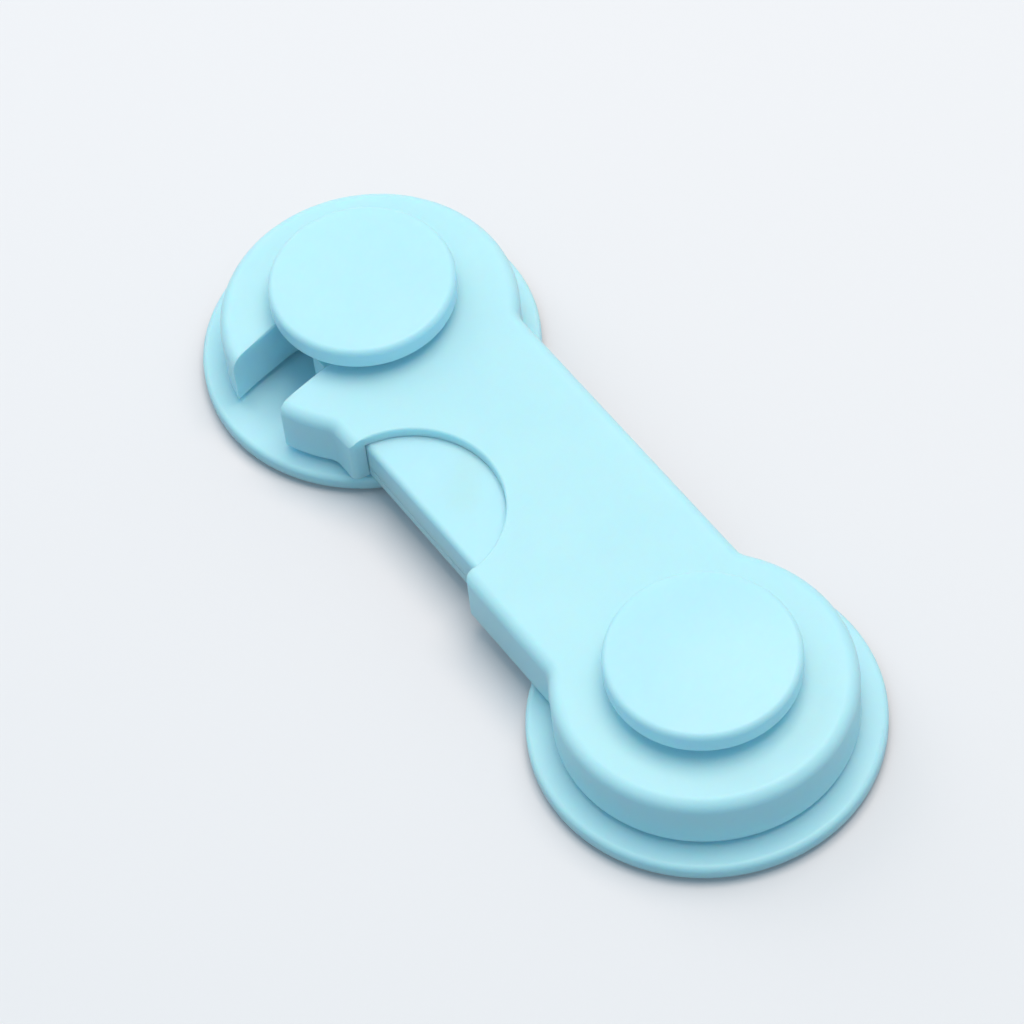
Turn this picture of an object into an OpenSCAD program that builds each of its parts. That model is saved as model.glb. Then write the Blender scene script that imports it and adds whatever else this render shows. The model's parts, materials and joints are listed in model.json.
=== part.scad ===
// Cabinet safety lock: two stick-on bases, an arm that swings on one post and hooks over the other,
// and a push button in the arm's side that draws a latch tongue out of the hook.
// Lengths are in millimetres. The arm runs along X, the slot and the button face -Y, and Z is up.

/* [Layout] */
// Distance between the latch post and the pivot post
post_span = 60; // [58:0.5:80]

/* [Bases] */
// Diameter of each round base
base_d = 36.5; // [34:0.5:46]
// Thickness of each base plate
base_t = 1.6; // [1.4:0.1:3]
// Rounding of the base plate's upper edge
base_edge_r = 0.6; // [0.2:0.1:1]
// Diameter of the post that the arm hooks over
latch_post_d = 7; // [6:0.1:8]
// Diameter of the post that the arm turns on
pivot_post_d = 10; // [8:0.1:11]
// Diameter of the adhesive pads
pad_d = 33; // [24:0.5:34]
// Thickness of the adhesive pads
pad_t = 0.7; // [0.5:0.1:1.5]
// Thickness of the release liners
liner_t = 0.1; // [0.05:0.05:0.3]

/* [Caps] */
// Diameter of each mushroom cap
cap_d = 20; // [18:0.5:24]
// Height of a cap's rim
cap_rim_h = 2.55; // [2:0.05:4]
// Rise of a cap's domed top above its rim
cap_crown = 0.5; // [0.2:0.05:1.5]
// Rounding of a cap's upper edge
cap_edge_r = 0.75; // [0.3:0.05:1.2]
// Rounding of a cap's lower edge
cap_lip_r = 0.35; // [0.1:0.05:0.6]
// Gap between the arm's top and the caps
cap_gap = 1.4; // [0.8:0.1:2]
// Diameter of the stem under a cap
spigot_d = 4.4; // [3.8:0.1:4.8]
// Length of the stem under a cap
spigot_l = 5; // [4:0.1:6]

/* [Arm] */
// Diameter of the arm's round end at the pivot
arm_end_d = 31; // [29:0.5:33]
// Diameter of the arm's round end at the latch
latch_end_d = 32; // [29:0.5:34]
// Distance from the latch post to the middle of the arm's latch end
latch_end_shift = 0.7; // [0:0.1:1.5]
// Width of the arm between its ends
arm_w = 24; // [22:0.5:26]
// Height of the arm
arm_h = 6.3; // [6:0.1:8]
// Rounding of the arm's upper edge
arm_edge_r = 1.4; // [0.5:0.1:1.6]
// Height of the arm above the base plates
arm_lift = 0.8; // [0.4:0.1:1.5]
// Thickness of the arm's side walls
wall = 1.7; // [1.4:0.1:2]
// Thickness of the arm's top wall
top_wall = 1.2; // [1:0.1:1.6]
// Thickness of the bottom cover
cover_t = 1.2; // [1:0.1:1.6]
// Width of the raised ring around the latch seat
collar_w = 2; // [1.6:0.1:4]
// Wall of the pivot bush
bush_wall = 1.15; // [0.8:0.05:1.5]
// Width of the pivot bush's flange
bush_flange_w = 1.3; // [0.8:0.1:1.6]
// Thickness of the pivot bush's flange
bush_flange_t = 0.8; // [0.5:0.1:1]
// Width of the washer under the pivot bush
washer_w = 3.4; // [2:0.1:5]
// Thickness of the ribs inside the arm
rib_t = 1.1; // [0.8:0.1:1.4]

/* [Button] */
// Radius of the half-moon thumb cut-out
thumb_r = 10.3; // [9:0.1:10.6]
// Distance from the latch post to the middle of the thumb cut-out
thumb_from_latch = 25.1; // [24.8:0.1:28]
// Travel of the button
press = 5; // [4.6:0.1:5.2]
// Thickness of the button's top plate
button_t = 2.1; // [1.8:0.1:2.4]
// Thickness of the button's front lip
lip_t = 1.3; // [1:0.1:1.6]
// Rounding of the button's upper front edge
lip_edge_r = 0.7; // [0.3:0.1:1]
// Width of the button's ears behind the side wall
ear_w = 0.8; // [0.6:0.1:1.4]
// Reach of the button's plate under the arm's top wall
plate_reach = 3.1; // [2.8:0.1:4]

/* [Slide] */
// Width of the slide's tail
slide_w = 4.8; // [4.2:0.1:5.2]
// Width of the latch tongue
tongue_w = 4; // [3.4:0.1:4.4]
// Wall of the hollow tongue
tongue_wall = 1.1; // [0.8:0.1:1.2]
// Slant of the tongue's outer corner
tongue_bevel = 2.2; // [1:0.1:2.4]
// Diameter of the cam pin
pin_d = 2.4; // [2:0.1:2.6]
// Distance from the cam pin to the middle of the thumb cut-out
pin_back = 3.4; // [2.6:0.1:4.5]
// Depth of the cam groove under the button's plate
groove_d = 1.3; // [1:0.1:1.5]

/* [Return spring] */
// Outer diameter of the return spring
spring_d = 3; // [2.4:0.1:3.2]
// Diameter of the spring wire
wire_d = 0.4; // [0.3:0.05:0.5]
// Number of coils
coils = 6; // [5:1:7]
// Distance from the spring to the middle of the thumb cut-out
spring_from_thumb = 5.6; // [5.4:0.1:7]

/* [Screws] */
// Shank diameter of the base screws
base_screw_d = 2.2; // [2:0.1:2.6]
// Head diameter of the base screws
base_head_d = 5; // [4.4:0.1:5.4]
// Head height of the base screws
base_head_h = 1; // [0.8:0.1:1.2]
// Length of the base screws under the head
base_screw_l = 7.2; // [6.6:0.1:8]
// Shank diameter of the cover screws
cover_screw_d = 1.6; // [1.4:0.1:1.8]
// Head diameter of the cover screws
cover_head_d = 3.2; // [2.8:0.1:3.4]
// Head height of the cover screws
cover_head_h = 0.8; // [0.6:0.1:0.9]
// Length of the cover screws over the head
cover_screw_l = 3.8; // [3:0.1:4]
// Diameter of the screw bosses inside the arm
boss_d = 4.4; // [4:0.1:5]

/* [Clearances] */
// Gap around seated pieces
seat_gap = 0.05; // [0.03:0.01:0.08]
// Gap around sliding pieces
slide_gap = 0.1; // [0.06:0.02:0.16]
// Gap between the latch post and the slot's walls
slot_gap = 0.4; // [0.3:0.05:0.6]
// Gap between the latch post and the tongue
tongue_gap = 0.4; // [0.3:0.05:0.6]
// Gap left between the slot and the drawn-back tongue
tip_gap = 0.3; // [0.1:0.05:0.5]
// Gap between pieces that pass each other
pass_gap = 0.3; // [0.25:0.05:0.5]
// Gap between the raised rings and the caps
collar_gap = 0.2; // [0.1:0.05:0.4]

/* [Hidden] */
$fn = 96;
dome_fn = 1440;
overrun = 1;
bond = 0.3;
sides = 6;
rings_per_coil = 8;

latch_x = -post_span / 2;
pivot_x = post_span / 2;
thumb_x = latch_x + thumb_from_latch;

base_r = base_d / 2;
latch_post_r = latch_post_d / 2;
pivot_post_r = pivot_post_d / 2;
cap_r = cap_d / 2;
spigot_r = spigot_d / 2;
arm_end_r = arm_end_d / 2;
latch_end_r = latch_end_d / 2;
latch_end_x = latch_x + latch_end_shift;
arm_half_w = arm_w / 2;

base_z = liner_t + pad_t;
base_top_z = base_z + base_t;
arm_z = base_top_z + arm_lift;
arm_top_z = arm_z + arm_h;
cover_top_z = arm_z + cover_t;
ceiling_z = arm_top_z - top_wall;
cap_z = arm_top_z + cap_gap;
collar_h = cap_gap - collar_gap;

base_screw_r = base_screw_d / 2;
base_head_r = base_head_d / 2;
head_pocket_h = base_head_h + slide_gap;
recess_share = 0.55;
recess_wide_share = 0.22;
recess_deep_share = 0.5;
tip_share = 0.9;
pilot_l = spigot_l - cap_edge_r;

bush_r = pivot_post_r + seat_gap + bush_wall;
bush_flange_r = bush_r + bush_flange_w;
pivot_boss_r = bush_flange_r + seat_gap + bond;
washer_r = pivot_post_r + seat_gap + washer_w;
slot_half = latch_post_r + slot_gap;
slot_wall_half = slot_half + wall;

side_y = -arm_half_w;
button_front_y = side_y + wall + slide_gap;
button_rear_y = side_y + thumb_r + plate_reach;
button_half_w = thumb_r + ear_w;
button_bottom_z = cover_top_z + slide_gap;
button_top_z = ceiling_z - slide_gap;
plate_z = button_top_z - button_t;
seat_block_t = plate_reach / 2;
spring_x = thumb_x + spring_from_thumb;
spring_r = spring_d / 2;
spring_z = (cover_top_z + ceiling_z) / 2;
spring_back_y = arm_half_w - wall;

slide_top_z = plate_z - slide_gap;
slide_y0 = button_front_y + lip_t + press + pass_gap;
slide_y1 = slide_y0 + slide_w;
pin_x = thumb_x - pin_back;
pin_y = slide_y0 + slide_w / 2;
pin_r = pin_d / 2;
pin_top_z = plate_z + groove_d - slide_gap;
tail_end_x = pin_x + slide_w / 2;
tongue_y1 = -latch_post_r - tongue_gap;
tongue_y0 = tongue_y1 - tongue_w;
tongue_tip_x = latch_x + slot_half + tip_gap - press;
head_x0 = latch_x + slot_wall_half + 2 * pass_gap;
head_x1 = thumb_x - button_half_w - press - 2 * pass_gap;
tab_l = (head_x1 - head_x0) / 2;
tab_half_w = tongue_w / 4;

stop_x0 = thumb_x + button_half_w + slide_gap;
pivot_wall_r = pivot_boss_r + wall - bond;
cover_boss_x = (stop_x0 + rib_t + pivot_x - pivot_wall_r) / 2;
cover_boss_y = arm_half_w - wall - boss_d / 2 + slide_gap;
latch_boss_x = (latch_x - slot_wall_half + latch_end_x - latch_end_r + wall) / 2;
pivot_boss_x = pivot_x + (pivot_wall_r + arm_end_r - wall) / 2;
screw_places = [
    [latch_boss_x, boss_d / 2],
    [cover_boss_x, cover_boss_y],
    [cover_boss_x, -cover_boss_y],
    [pivot_boss_x, 0]
];

plastic_c = [0.66, 0.9, 0.98];
clear_c = [0.92, 0.93, 0.9];
steel_c = [0.7, 0.71, 0.73];
foam_c = [0.9, 0.9, 0.88];
paper_c = [0.95, 0.9, 0.78];

// Right half of a disc's section with a rounded upper edge
module disc_section(r, h, edge) {
    square([r, h - edge]);
    square([r - edge, h]);
    translate([r - edge, h - edge])
        circle(r = edge);
}

// A flat ring
module ring(r_out, r_in, h) {
    difference() {
        cylinder(r = r_out, h = h);
        translate([0, 0, -overrun])
            cylinder(r = r_in, h = h + 2 * overrun);
    }
}

// Base plate with its hollow post, screwed from below
module base_plate(post_r) {
    difference() {
        union() {
            translate([0, 0, base_z])
                rotate_extrude()
                    disc_section(base_r, base_t, base_edge_r);
            translate([0, 0, base_z])
                cylinder(r = post_r, h = cap_z - base_z);
        }
        translate([0, 0, cap_z - spigot_l - seat_gap])
            cylinder(r = spigot_r + seat_gap, h = spigot_l + seat_gap + overrun);
        translate([0, 0, base_z - overrun])
            cylinder(r = base_screw_r + slide_gap, h = cap_z - base_z);
        translate([0, 0, base_z - overrun])
            cylinder(r = base_head_r + slide_gap, h = head_pocket_h + overrun);
    }
}

// Half section of a cap: rounded rim, domed top and stem
module cap_section() {
    dome_r = cap_r - cap_edge_r;
    sphere_r = (dome_r * dome_r + cap_crown * cap_crown) / (2 * cap_crown);
    square([cap_r - cap_lip_r, cap_rim_h - cap_edge_r]);
    translate([0, cap_lip_r])
        disc_section(cap_r, cap_rim_h - cap_lip_r, cap_edge_r);
    translate([cap_r - cap_lip_r, cap_lip_r])
        circle(r = cap_lip_r);
    intersection() {
        translate([0, cap_rim_h + cap_crown - sphere_r])
            circle(r = sphere_r, $fn = dome_fn);
        translate([0, cap_rim_h - cap_edge_r])
            square([dome_r, cap_edge_r + cap_crown]);
    }
    translate([0, -spigot_l])
        square([spigot_r, spigot_l + cap_edge_r]);
}

module post_cap() {
    translate([0, 0, cap_z])
        difference() {
            rotate_extrude()
                cap_section();
            translate([0, 0, -spigot_l - overrun])
                cylinder(r = base_screw_r + seat_gap, h = pilot_l + overrun);
        }
}

// Cross recess of a screw head, cut upwards from z = 0
module cross_recess(head_r, head_h) {
    long = 2 * head_r * recess_share;
    wide = 2 * head_r * recess_wide_share;
    deep = head_h * recess_deep_share;
    translate([-long / 2, -wide / 2, -overrun])
        cube([long, wide, deep + overrun]);
    translate([-wide / 2, -long / 2, -overrun])
        cube([wide, long, deep + overrun]);
}

module base_screw() {
    straight_l = base_screw_l * tip_share;
    translate([0, 0, base_z + slide_gap / 2])
        difference() {
            union() {
                cylinder(r = base_head_r, h = base_head_h);
                cylinder(r = base_screw_r, h = base_head_h + straight_l);
                translate([0, 0, base_head_h + straight_l])
                    cylinder(r1 = base_screw_r, r2 = base_screw_r / 2, h = base_screw_l - straight_l);
            }
            cross_recess(base_head_r, base_head_h);
        }
}

module pad() {
    translate([0, 0, liner_t])
        cylinder(r = pad_d / 2, h = pad_t);
}

module liner() {
    cylinder(r = pad_d / 2, h = liner_t);
}

// Plan of the arm, drawn in by inset
module arm_plan(inset) {
    translate([latch_end_x, 0])
        circle(r = latch_end_r - inset);
    translate([pivot_x, 0])
        circle(r = arm_end_r - inset);
    translate([latch_x, inset - arm_half_w])
        square([post_span, arm_w - 2 * inset]);
}

// Plan of the hook slot: a seat around the latch post and an arc about the pivot, open to -Y
module slot_plan(half) {
    translate([latch_x, 0])
        circle(r = half);
    intersection() {
        difference() {
            translate([pivot_x, 0])
                circle(r = post_span + half);
            translate([pivot_x, 0])
                circle(r = post_span - half);
        }
        translate([latch_end_x - latch_end_r, -latch_end_r - overrun])
            square([2 * latch_end_r, latch_end_r + overrun]);
    }
}

module bar_section() {
    translate([-arm_half_w, 0])
        square([arm_w, arm_h - arm_edge_r]);
    translate([arm_edge_r - arm_half_w, 0])
        square([arm_w - 2 * arm_edge_r, arm_h]);
    for (side = [-1, 1])
        translate([side * (arm_half_w - arm_edge_r), arm_h - arm_edge_r])
            circle(r = arm_edge_r);
}

// Outer form of the arm with its rounded upper edge
module arm_body() {
    translate([0, 0, arm_z]) {
        translate([latch_end_x, 0, 0])
            rotate_extrude()
                disc_section(latch_end_r, arm_h, arm_edge_r);
        translate([pivot_x, 0, 0])
            rotate_extrude()
                disc_section(arm_end_r, arm_h, arm_edge_r);
        translate([latch_x, 0, 0])
            rotate([90, 0, 90])
                linear_extrude(post_span)
                    bar_section();
    }
}

module collars() {
    translate([latch_x, 0, arm_top_z - bond])
        cylinder(r = slot_half + collar_w, h = collar_h + bond);
    translate([pivot_x, 0, arm_top_z - bond])
        cylinder(r = pivot_boss_r, h = collar_h + bond);
}

// Space inside the arm, left open below for the cover
module arm_hollow() {
    translate([0, 0, arm_z - overrun])
        linear_extrude(ceiling_z - arm_z + overrun)
            difference() {
                arm_plan(wall);
                slot_plan(slot_wall_half);
                translate([pivot_x, 0])
                    circle(r = pivot_wall_r);
            }
}

// A rib or block inside the arm, from the cover up into the top wall
module rib(x0, x1, y0, y1) {
    translate([x0, y0, cover_top_z])
        cube([x1 - x0, y1 - y0, ceiling_z - cover_top_z + bond]);
}

module arm_ribs() {
    guide_x1 = thumb_x - button_half_w - pass_gap;
    cup_half = spring_r + 2 * slide_gap;
    rib(latch_x + slot_wall_half - bond, guide_x1, slide_y1 + slide_gap, slide_y1 + slide_gap + rib_t);
    rib(latch_x + slot_wall_half, guide_x1, tongue_y0 - slide_gap - rib_t, tongue_y0 - slide_gap);
    rib(guide_x1 - rib_t, guide_x1, slide_y1 + slide_gap, button_rear_y + press);
    rib(stop_x0, stop_x0 + rib_t, side_y + wall - bond, button_rear_y + press);
    for (side = [-1, 1])
        rib(
            spring_x + side * (cup_half + rib_t / 2) - rib_t / 2,
            spring_x + side * (cup_half + rib_t / 2) + rib_t / 2,
            spring_back_y - spring_d, spring_back_y + bond
        );
    for (place = screw_places)
        translate([place[0], place[1], cover_top_z])
            cylinder(r = boss_d / 2, h = ceiling_z - cover_top_z + bond);
}

// Half-moon cut in the top wall, and the opening below it in the side wall
module thumb_cut() {
    translate([thumb_x, side_y, ceiling_z - overrun])
        cylinder(r = thumb_r, h = top_wall + 2 * overrun);
    intersection() {
        translate([thumb_x, side_y, arm_z - overrun])
            cylinder(r = thumb_r, h = arm_h + 2 * overrun);
        translate([thumb_x - 2 * thumb_r, side_y - 2 * thumb_r, arm_z - 2 * overrun])
            cube([4 * thumb_r, 2 * thumb_r + wall, arm_h + 4 * overrun]);
    }
}

module arm_shell() {
    color(plastic_c)
        difference() {
            union() {
                difference() {
                    union() {
                        arm_body();
                        collars();
                    }
                    arm_hollow();
                }
                arm_ribs();
            }
            translate([0, 0, arm_z - overrun])
                linear_extrude(arm_h + collar_h + 2 * overrun)
                    slot_plan(slot_half);
            translate([pivot_x, 0, arm_z - overrun])
                cylinder(r = bush_r + seat_gap, h = arm_h + collar_h + 2 * overrun);
            translate([pivot_x, 0, arm_z - overrun])
                cylinder(r = bush_flange_r + seat_gap, h = bush_flange_t + seat_gap + overrun);
            thumb_cut();
            translate([latch_x, tongue_y0 - slide_gap, cover_top_z])
                cube([head_x0 - latch_x, tongue_w + 2 * slide_gap, ceiling_z - cover_top_z]);
            for (place = screw_places) {
                translate([place[0], place[1], cover_top_z - overrun])
                    cylinder(r = cover_screw_d / 2 + seat_gap, h = cover_screw_l - cover_t + 2 * overrun);
                translate([place[0], place[1], arm_z - overrun])
                    cylinder(r = cover_head_d / 2 + slide_gap, h = cover_t + overrun);
            }
        }
}

module arm_cover() {
    color(plastic_c)
        difference() {
            translate([0, 0, arm_z])
                linear_extrude(cover_t)
                    difference() {
                        arm_plan(wall + slide_gap);
                        slot_plan(slot_wall_half + slide_gap);
                        translate([pivot_x, 0])
                            circle(r = pivot_wall_r + slide_gap);
                    }
            for (place = screw_places)
                translate([place[0], place[1], arm_z]) {
                    translate([0, 0, -overrun])
                        cylinder(r = cover_screw_d / 2 + slide_gap, h = cover_t + 2 * overrun);
                    cylinder(
                        r1 = cover_head_d / 2 + slide_gap,
                        r2 = cover_screw_d / 2 + slide_gap,
                        h = cover_head_h
                    );
                }
        }
}

module cover_screws() {
    color(steel_c)
        for (place = screw_places)
            translate([place[0], place[1], arm_z])
                difference() {
                    union() {
                        cylinder(r1 = cover_head_d / 2, r2 = cover_screw_d / 2, h = cover_head_h);
                        cylinder(r = cover_screw_d / 2, h = cover_screw_l);
                    }
                    cross_recess(cover_head_d / 2, cover_head_h);
                }
}

module pivot_bush() {
    color(clear_c)
        translate([pivot_x, 0, arm_z]) {
            ring(bush_r, pivot_post_r + seat_gap, arm_h + collar_h);
            ring(bush_flange_r, pivot_post_r + seat_gap, bush_flange_t);
        }
}

module pivot_washer() {
    color(clear_c)
        translate([pivot_x, 0, base_top_z])
            ring(washer_r, pivot_post_r + seat_gap, arm_lift - seat_gap);
}

// Side view of the button: top plate, front lip and rounded upper front edge
module button_section() {
    depth = button_rear_y - button_front_y;
    height = button_top_z - button_bottom_z;
    translate([0, height - button_t])
        square([depth, button_t - lip_edge_r]);
    square([lip_t, height - lip_edge_r]);
    translate([lip_edge_r, height - button_t])
        square([depth - lip_edge_r, button_t]);
    translate([lip_edge_r, height - lip_edge_r])
        circle(r = lip_edge_r);
}

module release_button() {
    groove_r = pin_r + slide_gap;
    color(plastic_c)
        difference() {
            union() {
                translate([thumb_x - button_half_w, button_front_y, button_bottom_z])
                    rotate([90, 0, 90])
                        linear_extrude(2 * button_half_w)
                            button_section();
                translate([spring_x - spring_r, button_rear_y - seat_block_t, button_bottom_z])
                    cube([spring_d, seat_block_t, button_top_z - button_bottom_z]);
            }
            translate([pin_x, pin_y, plate_z - overrun]) {
                cylinder(r = groove_r, h = groove_d + overrun);
                translate([press, -press, 0])
                    cylinder(r = groove_r, h = groove_d + overrun);
                rotate(-45)
                    translate([0, -groove_r, 0])
                        cube([press * sqrt(2), 2 * groove_r, groove_d + overrun]);
            }
        }
}

module latch_slide() {
    color(clear_c)
        difference() {
            union() {
                translate([head_x0, slide_y0, button_bottom_z])
                    cube([tail_end_x - head_x0, slide_w, slide_top_z - button_bottom_z]);
                translate([head_x0, tongue_y0, button_bottom_z])
                    cube([head_x1 - head_x0, slide_y1 - tongue_y0, button_top_z - button_bottom_z]);
            }
            translate([head_x0 - overrun, tongue_y0 + tongue_w / 2 - tab_half_w - seat_gap, button_bottom_z])
                cube([tab_l + seat_gap + overrun, 2 * (tab_half_w + seat_gap), arm_h]);
            translate([pin_x, pin_y, button_bottom_z - overrun])
                cylinder(r = pin_r + seat_gap, h = arm_h);
        }
}

// Springy hollow nose that bars the slot, with a tab that seats in the slide's head
module latch_tongue() {
    root_x = head_x0 - seat_gap;
    color(plastic_c)
        translate([0, 0, button_bottom_z + seat_gap])
            linear_extrude(button_top_z - button_bottom_z - 2 * seat_gap) {
                difference() {
                    polygon([
                        [tongue_tip_x, tongue_y1],
                        [tongue_tip_x, tongue_y0 + tongue_bevel],
                        [tongue_tip_x + tongue_bevel, tongue_y0],
                        [root_x, tongue_y0],
                        [root_x, tongue_y1]
                    ]);
                    polygon([
                        [tongue_tip_x + tongue_wall, tongue_y1 - tongue_wall],
                        [tongue_tip_x + tongue_wall + tongue_bevel, tongue_y0 + tongue_wall],
                        [root_x - tongue_wall, tongue_y0 + tongue_wall],
                        [root_x - tongue_wall, tongue_y1 - tongue_wall]
                    ]);
                }
                translate([root_x - bond, tongue_y0 + tongue_w / 2 - tab_half_w])
                    square([tab_l + bond, 2 * tab_half_w]);
            }
}

module cam_pin() {
    color(steel_c)
        translate([pin_x, pin_y, button_bottom_z])
            cylinder(r = pin_r, h = pin_top_z - button_bottom_z);
}

spring_y0 = button_rear_y + seat_gap;
spring_y1 = spring_back_y - seat_gap;
spring_rings = coils * rings_per_coil;
wind_r = spring_r - wire_d / 2;
function wind_angle(i) = 360 * i / rings_per_coil;
function wind_y(i) = spring_y0 + wire_d / 2 + (spring_y1 - spring_y0 - wire_d) * i / spring_rings;
function wind_point(i, r, y) = [
    spring_x + r * cos(wind_angle(i)),
    wind_y(i) + y,
    spring_z + r * sin(wind_angle(i))
];
spring_points = [
    for (i = [0 : spring_rings], k = [0 : sides - 1])
        wind_point(
            i,
            wind_r + wire_d / 2 * cos(360 * k / sides),
            wire_d / 2 * sin(360 * k / sides)
        )
];
spring_faces = concat(
    [for (k = [1 : sides - 2]) [0, k, k + 1]],
    [
        for (i = [0 : spring_rings - 1], k = [0 : sides - 1], half = [0, 1])
            let (a = i * sides + k, b = i * sides + (k + 1) % sides)
                half == 0 ? [a, a + sides, b] : [b, a + sides, b + sides]
    ],
    [
        for (k = [1 : sides - 2])
            let (first = spring_rings * sides)
                [first, first + k + 1, first + k]
    ]
);
spring_gap = min([
    for (i = [0 : spring_rings - rings_per_coil])
        norm(wind_point(i + rings_per_coil, wind_r, 0) - wind_point(i, wind_r, 0)) - wire_d
]);
echo(spring_gap = spring_gap);

module return_spring() {
    color(steel_c)
        polyhedron(points = spring_points, faces = spring_faces);
}

module latch_base() {
    color(plastic_c)
        translate([latch_x, 0, 0])
            base_plate(latch_post_r);
}

module latch_pad() {
    color(foam_c)
        translate([latch_x, 0, 0])
            pad();
}

module latch_liner() {
    color(paper_c)
        translate([latch_x, 0, 0])
            liner();
}

module latch_cap() {
    color(plastic_c)
        translate([latch_x, 0, 0])
            post_cap();
}

module latch_screw() {
    color(steel_c)
        translate([latch_x, 0, 0])
            base_screw();
}

module pivot_base() {
    color(plastic_c)
        translate([pivot_x, 0, 0])
            base_plate(pivot_post_r);
}

module pivot_pad() {
    color(foam_c)
        translate([pivot_x, 0, 0])
            pad();
}

module pivot_liner() {
    color(paper_c)
        translate([pivot_x, 0, 0])
            liner();
}

module pivot_cap() {
    color(plastic_c)
        translate([pivot_x, 0, 0])
            post_cap();
}

module pivot_screw() {
    color(steel_c)
        translate([pivot_x, 0, 0])
            base_screw();
}

latch_base();
latch_pad();
latch_liner();
latch_cap();
latch_screw();
pivot_base();
pivot_pad();
pivot_liner();
pivot_cap();
pivot_screw();
pivot_washer();
arm_shell();
arm_cover();
cover_screws();
pivot_bush();
return_spring();
release_button();
latch_slide();
latch_tongue();
cam_pin();
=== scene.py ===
import json
import math

import bmesh
import bpy
from mathutils import Matrix, Vector


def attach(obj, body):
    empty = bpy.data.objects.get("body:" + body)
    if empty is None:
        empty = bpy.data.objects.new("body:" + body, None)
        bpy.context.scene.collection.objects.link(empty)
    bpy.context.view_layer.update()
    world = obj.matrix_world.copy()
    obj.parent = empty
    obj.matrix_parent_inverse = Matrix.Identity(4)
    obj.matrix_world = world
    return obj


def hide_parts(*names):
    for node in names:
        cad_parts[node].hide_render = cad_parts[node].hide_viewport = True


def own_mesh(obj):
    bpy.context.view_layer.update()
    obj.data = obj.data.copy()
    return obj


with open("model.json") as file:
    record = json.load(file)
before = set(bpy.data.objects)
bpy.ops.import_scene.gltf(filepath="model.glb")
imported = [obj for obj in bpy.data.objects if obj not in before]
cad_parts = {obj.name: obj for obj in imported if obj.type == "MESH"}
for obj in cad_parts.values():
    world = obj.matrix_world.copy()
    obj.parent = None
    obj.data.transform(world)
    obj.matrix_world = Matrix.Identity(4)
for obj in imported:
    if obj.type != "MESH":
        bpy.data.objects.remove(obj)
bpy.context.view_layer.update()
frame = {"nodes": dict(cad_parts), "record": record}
nodes = frame["nodes"]
scene = bpy.context.scene
scene.view_settings.view_transform = "Standard"
print("lock frame loaded:", len(nodes), "nodes")


photoCamera = {
    "target": (-0.003844, -0.000219, 0.0),
    "azimuth": 60.5,
    "elevation": 54.33,
    "roll": -7.1,
    "distance": 0.4584,
    "lens": 153.9,
}


def placeCamera(size):
    azimuth, elevation, roll = (math.radians(size[k]) for k in ("azimuth", "elevation", "roll"))
    back = Vector((
        math.sin(azimuth) * math.cos(elevation),
        -math.cos(azimuth) * math.cos(elevation),
        math.sin(elevation),
    ))
    right = (-back).cross(Vector((0, 0, 1))).normalized()
    up = right.cross(-back)
    turnedRight = right * math.cos(roll) + up * math.sin(roll)
    turnedUp = up * math.cos(roll) - right * math.sin(roll)
    camera = bpy.data.objects.new("photoCamera", bpy.data.cameras.new("photoCamera"))
    scene.collection.objects.link(camera)
    camera.data.sensor_width = 36
    camera.data.lens = size["lens"]
    camera.data.clip_start = 0.01
    place = Vector(size["target"]) + back * size["distance"]
    turn = Matrix((turnedRight, turnedUp, back)).transposed().to_4x4()
    camera.matrix_world = Matrix.Translation(place) @ turn
    scene.camera = camera


placeCamera(photoCamera)

studio = {
    "floorHalf": 2.0,
    "floorDrop": 0.00002,  # keeps the liners just off the floor
    "floorSeen": (0.88, 0.82, 0.84, 1),
    "floorBounce": (0.24, 0.28, 0.32, 1),  # what the floor throws back on the lock
    "floorRoughness": 0.8,
    "worldColor": (0.56, 0.86, 1.0, 1),  # cool, against the warm key
    "worldSeen": 0.9,  # strength where it shows or is mirrored
    "worldStrength": 0.62,
    "keyPlace": (-0.05, 0.16, 0.70),
    "keySize": 0.5,
    "keyPower": 3.3,
    "keyColor": (1.0, 0.85, 0.72),
    "fillPlace": (-0.50, -0.06, 0.42),
    "fillSize": 0.4,
    "fillPower": 0.6,
    "fillColor": (1.0, 0.97, 0.95),
}


def seenDirectly(tree):
    rays = tree.nodes.new("ShaderNodeLightPath")
    total = rays.outputs["Is Camera Ray"]
    for name in ("Is Glossy Ray", "Is Transmission Ray"):
        adding = tree.nodes.new("ShaderNodeMath")
        adding.operation = "ADD"
        adding.use_clamp = True
        tree.links.new(total, adding.inputs[0])
        tree.links.new(rays.outputs[name], adding.inputs[1])
        total = adding.outputs[0]
    return total


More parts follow.
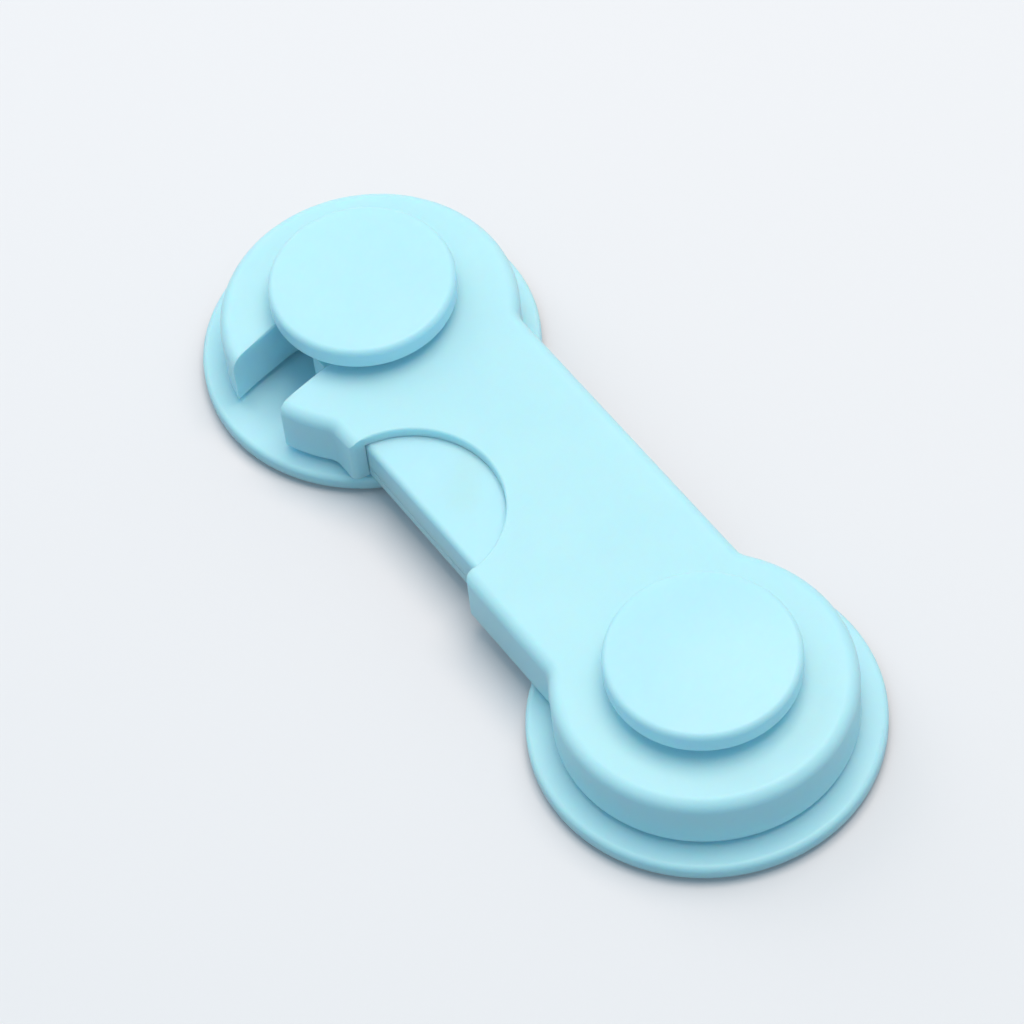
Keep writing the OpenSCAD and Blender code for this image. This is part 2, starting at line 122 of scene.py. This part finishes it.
def buildStudio(size):
    bpy.ops.object.select_all(action="DESELECT")
    bpy.ops.mesh.primitive_plane_add(size=2 * size["floorHalf"], location=(0, 0, -size["floorDrop"]))
    floor = bpy.context.active_object
    floor.name = "studioFloor"
    paint = bpy.data.materials.new("floorPaint")
    paint.use_nodes = True
    shader = paint.node_tree.nodes["Principled BSDF"]
    mix = paint.node_tree.nodes.new("ShaderNodeMix")
    mix.data_type = "RGBA"
    mix.inputs["A"].default_value = size["floorBounce"]
    mix.inputs["B"].default_value = size["floorSeen"]
    paint.node_tree.links.new(seenDirectly(paint.node_tree), mix.inputs["Factor"])
    paint.node_tree.links.new(mix.outputs["Result"], shader.inputs["Base Color"])
    shader.inputs["Roughness"].default_value = size["floorRoughness"]
    floor.data.materials.append(paint)
    world = bpy.data.worlds.new("studioWorld")
    world.use_nodes = True
    sky = world.node_tree.nodes["Background"]
    sky.inputs["Color"].default_value = size["worldColor"]
    level = world.node_tree.nodes.new("ShaderNodeMapRange")
    level.inputs["To Min"].default_value = size["worldStrength"]
    level.inputs["To Max"].default_value = size["worldSeen"]
    world.node_tree.links.new(seenDirectly(world.node_tree), level.inputs["Value"])
    world.node_tree.links.new(level.outputs["Result"], sky.inputs["Strength"])
    scene.world = world
    for lampName in ("key", "fill"):
        lamp = bpy.data.lights.new(lampName + "Light", "AREA")
        lamp.size = size[lampName + "Size"]
        lamp.energy = size[lampName + "Power"]
        lamp.color = size[lampName + "Color"]
        holder = bpy.data.objects.new(lampName + "Light", lamp)
        scene.collection.objects.link(holder)
        holder.location = size[lampName + "Place"]
        holder.rotation_mode = "QUATERNION"
        holder.rotation_quaternion = (-Vector(size[lampName + "Place"])).to_track_quat("-Z", "Y")


buildStudio(studio)
print("camera, floor and lights set")


def startFinish(name):
    finish = bpy.data.materials.new(name)
    finish.use_nodes = True
    tree = finish.node_tree
    shader = tree.nodes["Principled BSDF"]
    place = tree.nodes.new("ShaderNodeTexCoord").outputs["Object"]
    return finish, tree, shader, place


def addNoise(tree, place, scale, detail=2.0, stretch=None):
    if stretch:
        mapping = tree.nodes.new("ShaderNodeMapping")
        mapping.inputs["Scale"].default_value = stretch
        tree.links.new(place, mapping.inputs["Vector"])
        place = mapping.outputs["Vector"]
    noise = tree.nodes.new("ShaderNodeTexNoise")
    noise.inputs["Scale"].default_value = scale
    noise.inputs["Detail"].default_value = detail
    tree.links.new(place, noise.inputs["Vector"])
    return noise.outputs[0]


noiseSpan = (0.3, 0.7)  # between these lies most of a noise


def addTint(tree, shader, value, dark, light):
    ramp = tree.nodes.new("ShaderNodeValToRGB")
    for stop, position, color in zip(ramp.color_ramp.elements, noiseSpan, (dark, light)):
        stop.position = position
        stop.color = color
    tree.links.new(value, ramp.inputs[0])
    tree.links.new(ramp.outputs[0], shader.inputs["Base Color"])


def addRoughness(tree, shader, value, low, high):
    spread = tree.nodes.new("ShaderNodeMapRange")
    spread.inputs["From Min"].default_value = noiseSpan[0]
    spread.inputs["From Max"].default_value = noiseSpan[1]
    spread.inputs["To Min"].default_value = low
    spread.inputs["To Max"].default_value = high
    tree.links.new(value, spread.inputs["Value"])
    tree.links.new(spread.outputs["Result"], shader.inputs["Roughness"])


def addBump(tree, shader, value, strength, depth, under=None):
    bump = tree.nodes.new("ShaderNodeBump")
    bump.inputs["Strength"].default_value = strength
    bump.inputs["Distance"].default_value = depth
    tree.links.new(value, bump.inputs["Height"])
    if under:
        tree.links.new(under, bump.inputs["Normal"])
    tree.links.new(bump.outputs["Normal"], shader.inputs["Normal"])
    return bump.outputs["Normal"]


bluePlastic = {
    "dark": (0.510, 0.815, 0.930, 1),
    "light": (0.540, 0.845, 0.950, 1),
    "glowDepth": 0.0018,  # how far light travels inside
    "glowShare": 0.6,
    "glowTint": (0.25, 0.75, 1.0),
    "cloudScale": 55,  # slow drift of the pigment, about 18 mm
    "smearScale": 600,
    "roughness": (0.3, 0.38),
    "waveScale": 150,  # slight sink of the walls
    "waveBump": (0.08, 0.0004),  # strength, depth
    "grainScale": 5200,  # fine mould texture, about 0.2 mm
    "grainBump": (0.06, 0.00006),
    "ior": 1.5,
    "specular": 0.3,
}


def makeBluePlastic(size):
    finish, tree, shader, place = startFinish("bluePlastic")
    grain = addNoise(tree, place, size["grainScale"], detail=3)
    addTint(tree, shader, addNoise(tree, place, size["cloudScale"], detail=3), size["dark"], size["light"])
    addRoughness(tree, shader, addNoise(tree, place, size["smearScale"], detail=4), *size["roughness"])
    wave = addBump(tree, shader, addNoise(tree, place, size["waveScale"], detail=1), *size["waveBump"])
    addBump(tree, shader, grain, *size["grainBump"], wave)
    shader.inputs["IOR"].default_value = size["ior"]
    shader.inputs["Specular IOR Level"].default_value = size["specular"]
    shader.inputs["Subsurface Weight"].default_value = size["glowShare"]
    shader.inputs["Subsurface Radius"].default_value = size["glowTint"]
    shader.inputs["Subsurface Scale"].default_value = size["glowDepth"]
    return finish


naturalAcetal = {
    "dark": (0.80, 0.79, 0.74, 1),
    "light": (0.87, 0.86, 0.81, 1),
    "cloudScale": 300,
    "smearScale": 900,
    "roughness": (0.4, 0.52),
    "grainScale": 6000,
    "grainBump": (0.08, 0.00005),  # strength, depth
}


def makeNaturalAcetal(size):
    finish, tree, shader, place = startFinish("naturalAcetal")
    addTint(tree, shader, addNoise(tree, place, size["cloudScale"], detail=3), size["dark"], size["light"])
    addRoughness(tree, shader, addNoise(tree, place, size["smearScale"], detail=3), *size["roughness"])
    addBump(tree, shader, addNoise(tree, place, size["grainScale"]), *size["grainBump"])
    return finish


screwSteel = {
    "dark": (0.56, 0.58, 0.61, 1),
    "light": (0.72, 0.73, 0.74, 1),
    "patchScale": 1200,
    "scratch": (1, 9, 9),  # stretch of the scratches
    "roughness": (0.22, 0.42),
    "scratchScale": 3600,
    "scratchBump": (0.1, 0.00003),  # strength, depth
}


def makeScrewSteel(size):
    finish, tree, shader, place = startFinish("screwSteel")
    addTint(tree, shader, addNoise(tree, place, size["patchScale"], detail=4), size["dark"], size["light"])
    wear = addNoise(tree, place, size["patchScale"], detail=4, stretch=size["scratch"])
    addRoughness(tree, shader, wear, *size["roughness"])
    scratches = addNoise(tree, place, size["scratchScale"], stretch=size["scratch"])
    addBump(tree, shader, scratches, *size["scratchBump"])
    shader.inputs["Metallic"].default_value = 1
    return finish


springSteel = {
    "dark": (0.42, 0.42, 0.44, 1),
    "light": (0.62, 0.62, 0.63, 1),
    "drawScale": 2500,
    "draw": (6, 1, 6),  # stretch of the drawing marks
    "roughness": (0.18, 0.34),
    "drawBump": (0.08, 0.00002),  # strength, depth
}


def makeSpringSteel(size):
    finish, tree, shader, place = startFinish("springSteel")
    streak = addNoise(tree, place, size["drawScale"], detail=3, stretch=size["draw"])
    addTint(tree, shader, streak, size["dark"], size["light"])
    addRoughness(tree, shader, streak, *size["roughness"])
    addBump(tree, shader, streak, *size["drawBump"])
    shader.inputs["Metallic"].default_value = 1
    return finish


padFoam = {
    "dark": (0.74, 0.73, 0.70, 1),
    "light": (0.88, 0.88, 0.85, 1),
    "cellScale": 4200,
    "roughness": (0.75, 0.92),
    "cellBump": (0.5, 0.00008),  # strength, depth
}


def makePadFoam(size):
    finish, tree, shader, place = startFinish("padFoam")
    cells = tree.nodes.new("ShaderNodeTexVoronoi")
    cells.inputs["Scale"].default_value = size["cellScale"]
    tree.links.new(place, cells.inputs["Vector"])
    addTint(tree, shader, cells.outputs["Distance"], size["dark"], size["light"])
    addRoughness(tree, shader, addNoise(tree, place, size["cellScale"]), *size["roughness"])
    addBump(tree, shader, cells.outputs["Distance"], *size["cellBump"])
    return finish


linerPaper = {
    "dark": (0.80, 0.73, 0.58, 1),
    "light": (0.90, 0.85, 0.71, 1),
    "fibreScale": 900,
    "fibre": (1, 3, 1),  # stretch of the fibres
    "roughness": (0.45, 0.6),
    "fibreBump": (0.15, 0.00003),  # strength, depth
}


def makeLinerPaper(size):
    finish, tree, shader, place = startFinish("linerPaper")
    fibre = addNoise(tree, place, size["fibreScale"], detail=6, stretch=size["fibre"])
    addTint(tree, shader, fibre, size["dark"], size["light"])
    addRoughness(tree, shader, fibre, *size["roughness"])
    addBump(tree, shader, fibre, *size["fibreBump"])
    return finish


finishes = {
    "blue_plastic": makeBluePlastic(bluePlastic),
    "natural_acetal": makeNaturalAcetal(naturalAcetal),
    "screw_steel": makeScrewSteel(screwSteel),
    "spring_steel": makeSpringSteel(springSteel),
    "pad_foam": makePadFoam(padFoam),
    "liner_paper": makeLinerPaper(linerPaper),
}
for subpart in frame["record"]["subparts"]:
    cadNode = nodes[subpart["node"]]
    cadNode.data.materials.clear()
    cadNode.data.materials.append(finishes[subpart["material_slot"]])
print("finishes made:", ", ".join(finishes))


touch = 1e-6  # places nearer than this are one


def beginPiece(name):
    piece = bpy.context.active_object
    piece.name = name
    bpy.ops.object.mode_set(mode="EDIT")
    return piece


def pick(piece, kind, wanted):
    bpy.ops.mesh.select_mode(type=kind)
    bpy.ops.mesh.select_all(action="DESELECT")
    mesh = bmesh.from_edit_mesh(piece.data)
    parts = {"VERT": mesh.verts, "EDGE": mesh.edges, "FACE": mesh.faces}[kind]
    count = 0
    for part in parts:
        if wanted(part):
            part.select_set(True)
            count += 1
    mesh.select_flush_mode()
    bmesh.update_edit_mesh(piece.data)
    return count


def endPiece(merge=1e-7):
    bpy.ops.mesh.select_all(action="SELECT")
    bpy.ops.mesh.remove_doubles(threshold=merge)
    bpy.ops.mesh.normals_make_consistent(inside=False)
    bpy.ops.object.mode_set(mode="OBJECT")


def combine(piece, tool, how):
    bpy.ops.object.select_all(action="DESELECT")
    bpy.context.view_layer.objects.active = piece
    piece.select_set(True)
    joiner = piece.modifiers.new(how.lower(), "BOOLEAN")
    joiner.solver = "EXACT"
    joiner.use_self = True
    joiner.operation = how
    joiner.object = tool
    bpy.ops.object.modifier_apply(modifier=joiner.name)
    bpy.data.objects.remove(tool)


def addDrum(name, x, y, radius, low, high, steps=96):
    bpy.ops.object.select_all(action="DESELECT")
    bpy.ops.mesh.primitive_cylinder_add(
        vertices=steps, radius=radius, depth=high - low, location=(x, y, (low + high) / 2)
    )
    drum = bpy.context.active_object
    drum.name = name
    bpy.ops.object.transform_apply(location=True, rotation=True, scale=True)
    return drum


def addBlock(name, x0, x1, y0, y1, low, high):
    bpy.ops.object.select_all(action="DESELECT")
    bpy.ops.mesh.primitive_cube_add(size=1, location=((x0 + x1) / 2, (y0 + y1) / 2, (low + high) / 2))
    block = bpy.context.active_object
    block.name = name
    block.scale = (x1 - x0, y1 - y0, high - low)
    bpy.ops.object.transform_apply(location=True, rotation=True, scale=True)
    return block


def joinTools(tools):
    for tool in tools[1:]:
        combine(tools[0], tool, "UNION")
    return tools[0]


armShell = {
    "latchX": -0.030,
    "pivotX": 0.030,
    "latchEndX": -0.0293,
    "latchEndR": 0.0160,
    "pivotEndR": 0.0155,
    "halfW": 0.0120,
    "bottomZ": 0.0032,
    "topZ": 0.0095,
    "ceilingZ": 0.0083,
    "coverTopZ": 0.0044,
    "wall": 0.0017,
    "edgeR": 0.0014,
    "edgeSteps": 8,
    "junctionR": 0.0018,
    "junctionSteps": 6,
    "softEdge": 0.0003,
    "softSteps": 3,
    "softAngle": math.radians(25),  # flatter edges stay as they are
    "onWall": 0.00002,  # how near to a wall counts as on it
    "arcSteps": 96,
    "slotHalf": 0.0039,
    "slotSweep": math.radians(20),
    "slotSteps": 5,
    "seatSteps": 32,
    "mouthSpare": math.radians(1.8),  # room beside each wall at the mouth
    "sameTurn": 0.0001,  # the ends of an upright line lie this near in turn
    "thumbX": -0.0049,
    "thumbR": 0.0103,
    "thumbSteps": 64,
    "thumbFlareR": 0.0008,
    "flareSteps": 8,
    "collarTopZ": 0.0107,
    "latchCollarR": 0.0059,
    "collarSetback": 0.00001,  # keeps its walls off the slot's
    "pivotCollarR": 0.00785,
    "pivotWallR": 0.00925,
    "boreR": 0.00625,
    "flangeR": 0.00755,
    "flangeTopZ": 0.00405,
    "bossR": 0.0022,
    "bossSteps": 32,
    "pilotR": 0.00085,
    "pilotSteps": 24,
    "pilotTopZ": 0.0080,
    "bond": 0.0003,  # how far joined forms run into each other
    "over": 0.001,  # how far cuts run past the shell
    "sliver": 0.000002,  # shorter edges are merged
    "ribs": [  # x from, x to, y from, y to
        (-0.0247, -0.0163, 0.0013, 0.0024),  # slide guide
        (-0.0244, -0.0163, -0.0091, -0.0080),  # tongue guide
        (-0.0174, -0.0163, 0.0013, 0.0064),  # button guide
        (0.0063, 0.0074, -0.0106, 0.0064),  # button guide
        (-0.0021, -0.0010, 0.0073, 0.0106),  # spring cup
        (0.0024, 0.0035, 0.0073, 0.0106),  # spring cup
    ],
    "bosses": [(-0.0396, 0.0022), (0.014075, 0.0082), (0.014075, -0.0082), (0.041525, 0.0)],
    "tongueWindow": (-0.0300, -0.0238, -0.0080, -0.0038),
}


def isAt(v, x, y):
    return math.hypot(v.co.x - x, v.co.y - y) < touch


def extrudeOutline(piece, low, high):
    bpy.ops.mesh.select_mode(type="FACE")
    bpy.ops.mesh.select_all(action="SELECT")
    bpy.ops.mesh.extrude_region_move(TRANSFORM_OT_translate={"value": (0, 0, high - low)})
    endPiece()
    return piece


def armPrism(name, size, inset, low, high, junctionR=0.0):
    halfW = size["halfW"] - inset
    ends = []
    for side, x, endR in ((-1, size["latchEndX"], size["latchEndR"]), (1, size["pivotX"], size["pivotEndR"])):
        corner = math.asin(halfW / (endR - inset))
        ends.append((side, x, x - side * (endR - inset) * math.cos(corner), corner))
    cornerX = [end[2] for end in ends]
    bpy.ops.object.select_all(action="DESELECT")
    bpy.ops.mesh.primitive_plane_add(size=2, location=(0, 0, 0))
    prism = beginPiece(name)
    bpy.ops.transform.resize(value=((cornerX[1] - cornerX[0]) / 2, halfW, 1))
    bpy.ops.transform.translate(value=((cornerX[1] + cornerX[0]) / 2, 0, low))
    pick(prism, "EDGE", lambda e: abs(e.verts[0].co.x - e.verts[1].co.x) < touch)
    bpy.ops.mesh.delete(type="EDGE")  # leaves the two long sides
    for side, x, edgeX, corner in ends:  # round ends spun from the corners
        pick(prism, "VERT", lambda v: isAt(v, edgeX, -side * halfW))
        bpy.ops.mesh.spin(
            steps=size["arcSteps"], angle=2 * (math.pi - corner), center=(x, 0, low), axis=(0, 0, -1)
        )
    bpy.ops.mesh.select_all(action="SELECT")
    bpy.ops.mesh.remove_doubles(threshold=touch)
    bpy.ops.mesh.select_all(action="SELECT")
    bpy.ops.mesh.edge_face_add()
    if junctionR:
        for side, x, edgeX, corner in ends:
            pick(prism, "VERT", lambda v: isAt(v, edgeX, halfW) or isAt(v, edgeX, -halfW))
            bpy.ops.mesh.bevel(
                offset_type="OFFSET",
                offset=junctionR * math.tan((math.pi / 2 - corner) / 2),
                segments=size["junctionSteps"],
                affect="VERTICES",
                clamp_overlap=False,
            )
    return extrudeOutline(prism, low, high)


def slotPrism(name, size, half, low, high):
    latchX = size["latchX"]
    bpy.ops.object.select_all(action="DESELECT")
    bpy.ops.mesh.primitive_plane_add(size=2 * half, location=(0, 0, 0))
    prism = beginPiece(name)
    bpy.ops.transform.translate(value=(latchX, half, low))
    pick(prism, "VERT", lambda v: v.co.y > half)
    bpy.ops.mesh.delete(type="VERT")  # leaves one edge across the seat
    bpy.ops.mesh.select_all(action="SELECT")
    bpy.ops.mesh.spin(
        steps=size["slotSteps"], angle=size["slotSweep"], center=(size["pivotX"], 0, low), axis=(0, 0, -1)
    )
    pick(prism, "VERT", lambda v: isAt(v, latchX + half, 0))
    bpy.ops.mesh.spin(steps=size["seatSteps"], angle=math.pi, center=(latchX, 0, low), axis=(0, 0, -1))
    bpy.ops.mesh.select_all(action="SELECT")
    bpy.ops.mesh.remove_doubles(threshold=touch)
    pick(prism, "EDGE", lambda e: min(e.verts[0].co.y, e.verts[1].co.y) > -touch)
    bpy.ops.mesh.edge_face_add()
    return extrudeOutline(prism, low, high)


# the half-moon, flared where it meets the arm's side
def thumbPrism(name, size, low, high):
    x, y, flareR, over = size["thumbX"], -size["halfW"], size["thumbFlareR"], size["over"]
    mouth = math.sqrt((size["thumbR"] + flareR) ** 2 - flareR ** 2)
    lean = math.atan2(flareR, mouth)
    bpy.ops.object.select_all(action="DESELECT")
    bpy.ops.mesh.primitive_plane_add(size=2, location=(0, 0, 0))
    prism = beginPiece(name)
    bpy.ops.transform.resize(value=(mouth, over / 2, 1))
    bpy.ops.transform.translate(value=(x, y - over / 2, low))
    pick(prism, "EDGE", lambda e: all(v.co.y > y - touch for v in e.verts))
    bpy.ops.mesh.delete(type="EDGE_FACE")  # leaves a tray outside the arm
    pick(prism, "VERT", lambda v: isAt(v, x - mouth, y))
    flareTurn = math.pi / 2 - lean
    bpy.ops.mesh.spin(
        steps=size["flareSteps"], angle=flareTurn, center=(x - mouth, y + flareR, low), axis=(0, 0, -1)
    )
    rise, reach = size["thumbR"] * math.sin(lean), size["thumbR"] * math.cos(lean)
    pick(prism, "VERT", lambda v: isAt(v, x - reach, y + rise))
    bpy.ops.mesh.spin(steps=size["thumbSteps"], angle=math.pi - 2 * lean, center=(x, y, low), axis=(0, 0, 1))
    pick(prism, "VERT", lambda v: isAt(v, x + reach, y + rise))
    bpy.ops.mesh.spin(
        steps=size["flareSteps"], angle=flareTurn, center=(x + mouth, y + flareR, low), axis=(0, 0, -1)
    )
    bpy.ops.mesh.select_all(action="SELECT")
    bpy.ops.mesh.remove_doubles(threshold=touch)
    bpy.ops.mesh.select_all(action="SELECT")
    bpy.ops.mesh.edge_face_add()
    return extrudeOutline(prism, low, high)


# the upright lines of the rim where the slot's walls come out
def nearMouth(edge, size):
    apart, span = size["pivotX"] - size["latchEndX"], size["pivotX"] - size["latchX"]
    turns = [math.atan2(v.co.y, v.co.x - size["latchEndX"]) for v in edge.verts]
    if abs(turns[0] - turns[1]) > size["sameTurn"]:
        return False
    for wallR in (span - size["slotHalf"], span + size["slotHalf"]):
        ends = []
        for rimR in (size["latchEndR"], size["latchEndR"] - size["edgeR"]):
            ends.append(-math.acos((rimR ** 2 + apart ** 2 - wallR ** 2) / (2 * rimR * apart)))
        if min(ends) - size["mouthSpare"] < turns[0] < max(ends) + size["mouthSpare"]:
            return True
    return False


# the cut-out's edge on the deck, and the slot's on the deck and down the rim
def isSoftEdge(edge, size):
    if edge.calc_face_angle(0) < size["softAngle"]:
        return False
    thumbX, sideY, span = size["thumbX"], -size["halfW"], size["pivotX"] - size["latchX"]
    onDeck = all(v.co.z > size["topZ"] - touch for v in edge.verts)
    fromThumb = [math.hypot(v.co.x - thumbX, v.co.y - sideY) for v in edge.verts]
    if all(abs(r - size["thumbR"]) < size["onWall"] for r in fromThumb):
        return onDeck
    for v in edge.verts:
        fromPivot = math.hypot(v.co.x - size["pivotX"], v.co.y)
        if v.co.y > 0 or abs(abs(fromPivot - span) - size["slotHalf"]) > size["onWall"]:
            return False
    rimR = size["latchEndR"] - size["edgeR"] - size["onWall"]
    return onDeck or all(math.hypot(v.co.x - size["latchEndX"], v.co.y) > rimR for v in edge.verts)


def makeArmShell(size):
    latchX, pivotX = size["latchX"], size["pivotX"]
    over, low, top = size["over"], size["bottomZ"], size["topZ"]
    shell = armPrism("armShell", size, 0, low, top, size["junctionR"])
    bpy.context.view_layer.objects.active = shell
    bpy.ops.object.mode_set(mode="EDIT")
    pick(shell, "EDGE", lambda e: min(v.co.z for v in e.verts) > top - touch)
    bpy.ops.mesh.bevel(
        offset=size["edgeR"], segments=size["edgeSteps"], profile=0.5, affect="EDGES", clamp_overlap=False
    )
    pick(shell, "EDGE", lambda e: nearMouth(e, size))  # room beside the slot's mouth for its soft edges
    bpy.ops.mesh.dissolve_edges(use_verts=True)
    bpy.ops.object.mode_set(mode="OBJECT")
    combine(shell, slotPrism("slotCut", size, size["slotHalf"], low - over, top + over), "DIFFERENCE")
    combine(shell, thumbPrism("thumbCut", size, low - over, top + over), "DIFFERENCE")
    bpy.context.view_layer.objects.active = shell
    bpy.ops.object.mode_set(mode="EDIT")
    count = pick(shell, "EDGE", lambda e: isSoftEdge(e, size))
    bpy.ops.mesh.bevel(
        offset=size["softEdge"], segments=size["softSteps"], profile=0.5, affect="EDGES", clamp_overlap=False
    )
    bpy.ops.object.mode_set(mode="OBJECT")
    print("soft edges on the arm shell:", count)

    # the collars stand on the deck after its soft edges, which end under the latch collar
    for x, collarR in ((latchX, size["latchCollarR"]), (pivotX, size["pivotCollarR"])):
        collar = addDrum("collar", x, 0, collarR, top - 2 * size["bond"], size["collarTopZ"])
        if x == latchX:
            half = size["slotHalf"] + size["collarSetback"]
            combine(collar, slotPrism("collarCut", size, half, low, top + 3 * over), "DIFFERENCE")
        combine(shell, collar, "UNION")

    hollow = armPrism("hollow", size, size["wall"], low - over, size["ceilingZ"])
    slotWall = slotPrism("slotWall", size, size["slotHalf"] + size["wall"], low - 2 * over, top)
    combine(hollow, slotWall, "DIFFERENCE")
    combine(hollow, addDrum("pivotWall", pivotX, 0, size["pivotWallR"], low - 2 * over, top), "DIFFERENCE")
    combine(shell, hollow, "DIFFERENCE")

    ribTop = size["ceilingZ"] + size["bond"]
    inside = [addBlock("rib", *rib, size["coverTopZ"], ribTop) for rib in size["ribs"]]
    for x, y in size["bosses"]:
        inside.append(addDrum("boss", x, y, size["bossR"], size["coverTopZ"], ribTop, size["bossSteps"]))
    combine(shell, joinTools(inside), "UNION")

    holes = [addDrum("bore", pivotX, 0, size["boreR"], low - over, size["collarTopZ"] + over)]
    holes.append(addDrum("flange", pivotX, 0, size["flangeR"], low - over, size["flangeTopZ"]))
    holes.append(addBlock("window", *size["tongueWindow"], size["coverTopZ"], size["ceilingZ"]))
    for x, y in size["bosses"]:
        holes.append(addDrum("pilot", x, y, size["pilotR"], low, size["pilotTopZ"], size["pilotSteps"]))
    combine(shell, joinTools(holes), "DIFFERENCE")
    bpy.ops.object.mode_set(mode="EDIT")
    bpy.ops.mesh.select_all(action="SELECT")
    bpy.ops.mesh.dissolve_degenerate(threshold=size["sliver"])
    endPiece(size["sliver"])
    return shell


def finishPiece(piece, slot, body, replaced, angle=30):
    bpy.ops.object.select_all(action="DESELECT")
    piece.select_set(True)
    bpy.context.view_layer.objects.active = piece
    bpy.ops.object.shade_smooth_by_angle(angle=math.radians(angle))
    even = piece.modifiers.new("evenNormals", "WEIGHTED_NORMAL")
    even.keep_sharp = True
    bpy.ops.object.modifier_apply(modifier=even.name)
    piece.data.materials.clear()
    piece.data.materials.append(finishes[slot])
    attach(piece, body)
    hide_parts(replaced)


shellPiece = makeArmShell(armShell)
finishPiece(shellPiece, "blue_plastic", "arm", "arm_shell")
print("arm shell:", len(shellPiece.data.polygons), "faces")


adhesivePad = {
    "radius": 0.0165,
    "low": 0.0001,
    "high": 0.0008,
    "edge": 0.00012,
    "edgeSteps": 3,
    "squeeze": 0.00014,  # how far the edge draws in half way up
    "waistHalf": 0.00013,  # half the height that draws in
    "rows": 5,
    "steps": 160,
}


def makePad(name, x, size):
    middle = (size["low"] + size["high"]) / 2
    pad = addDrum(name, x, 0, size["radius"], size["low"], size["high"], size["steps"])
    bpy.ops.object.mode_set(mode="EDIT")
    pick(pad, "EDGE", lambda e: abs(e.verts[0].co.z - e.verts[1].co.z) > touch)
    bpy.ops.mesh.subdivide(number_cuts=size["rows"])
    pick(pad, "VERT", lambda v: abs(v.co.z - middle) < size["waistHalf"])
    draw = 1 - size["squeeze"] / size["radius"]
    bpy.ops.transform.translate(value=(-x, 0, 0))
    bpy.ops.transform.resize(value=(draw, draw, 1))
    bpy.ops.transform.translate(value=(x, 0, 0))
    half = middle - size["low"]
    pick(pad, "EDGE", lambda e: abs(abs(sum(v.co.z for v in e.verts) / 2 - middle) - half) < touch)
    bpy.ops.mesh.bevel(
        offset=size["edge"], segments=size["edgeSteps"], profile=0.5, affect="EDGES", clamp_overlap=True
    )
    endPiece()
    return pad


padPlaces = (("latchPad", armShell["latchX"], "latch_pad"), ("pivotPad", armShell["pivotX"], "pivot_pad"))
for padName, padX, replaced in padPlaces:
    padPiece = makePad(padName, padX, adhesivePad)
    finishPiece(padPiece, "pad_foam", "bases", replaced)
print("adhesive pads made")

returnSpring = {
    "middleX": 0.0007,
    "middleZ": 0.00635,
    "frontY": 0.00145,
    "backY": 0.01025,
    "windR": 0.0013,
    "wireR": 0.0002,
    "wireSides": 12,
    "coils": 6,
    "stepsPerCoil": 36,
    "pressed": 0.43,  # share of its length left when the button is in
}


def makeSpring(size):
    bpy.ops.object.select_all(action="DESELECT")
    bpy.ops.mesh.primitive_circle_add(vertices=size["wireSides"], radius=size["wireR"], location=(0, 0, 0))
    spring = beginPiece("returnSpring")
    bpy.ops.transform.translate(value=(size["windR"], 0, 0))
    bpy.ops.object.mode_set(mode="OBJECT")
    winding = spring.modifiers.new("winding", "SCREW")
    winding.axis = "Y"
    winding.angle = math.tau
    winding.steps = winding.render_steps = size["stepsPerCoil"]
    winding.iterations = size["coils"]
    winding.screw_offset = (size["backY"] - size["frontY"] - 2 * size["wireR"]) / size["coils"]
    bpy.ops.object.modifier_apply(modifier=winding.name)
    bpy.ops.object.mode_set(mode="EDIT")
    bpy.ops.mesh.select_all(action="SELECT")
    bpy.ops.mesh.fill_holes(sides=size["wireSides"])
    bpy.ops.mesh.select_all(action="SELECT")
    bpy.ops.transform.translate(value=(size["middleX"], size["frontY"] + size["wireR"], size["middleZ"]))
    endPiece()
    return spring


springPiece = makeSpring(returnSpring)
finishPiece(springPiece, "spring_steel", "arm", "return_spring", angle=60)
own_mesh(springPiece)
print("return spring wound:", len(springPiece.data.polygons), "faces")

print("lock dressed")
